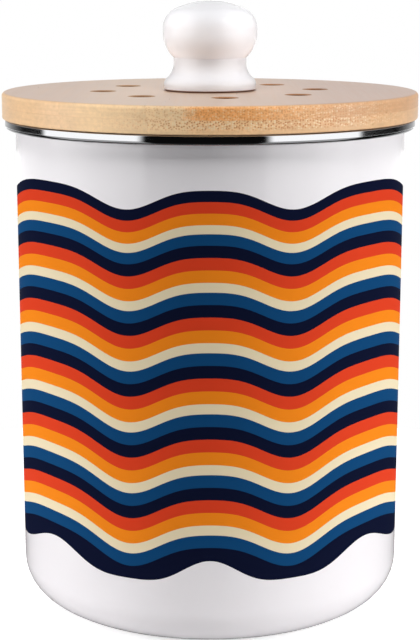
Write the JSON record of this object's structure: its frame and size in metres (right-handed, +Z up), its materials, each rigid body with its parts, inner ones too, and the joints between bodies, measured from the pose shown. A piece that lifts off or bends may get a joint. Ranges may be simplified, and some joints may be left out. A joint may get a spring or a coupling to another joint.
{
  "type": "compost caddy",
  "caption": "Straight-sided enamelled kitchen compost pot with a steel rim and a vented bamboo lid that has a ceramic knob, a seal and a twist-off charcoal filter.",
  "frame": {"origin": "centre of the ring that the pot stands on, on the surface it stands on", "axes": "+Z up along the pot's axis, -Y to the front of the caddy"},
  "size_m": [0.178, 0.178, 0.26],
  "materials": {
    "enamel": "glossy vitreous enamel",
    "rim_steel": "polished stainless",
    "bamboo": "fine sanded and oiled",
    "silicone": "satin",
    "knob_glaze": "glossy clear glaze",
    "brass": "turned",
    "screw_steel": "bright zinc",
    "filter_plastic": "fine moulded satin",
    "charcoal": "needled charcoal felt"
  },
  "bodies": {
    "pot": {"body_shell": "enamel", "rim_band": "rim_steel"},
    "lid": {"lid_upper_ply": "bamboo", "lid_lower_ply": "bamboo", "lid_plug": "bamboo", "seal_ring": "silicone", "knob": "knob_glaze", "knob_insert": "brass", "knob_screw": "screw_steel", "knob_washer": "screw_steel", "filter_holder": "filter_plastic", "filter_holder_screws": "screw_steel"},
    "filter_tray": {"filter_cap": "filter_plastic", "filter_pad": "charcoal"}
  },
  "joints": [
    {"name": "lid_lift", "type": "slide", "parent": "pot", "child": "lid", "axis": [0, 0, 1], "range_m": [0, 0.1]},
    {"name": "filter_twist", "type": "hinge", "parent": "lid", "child": "filter_tray", "pos_m": [0, 0, 0.2], "axis": [0, 0, 1], "range_deg": [0, 25]}
  ]
}
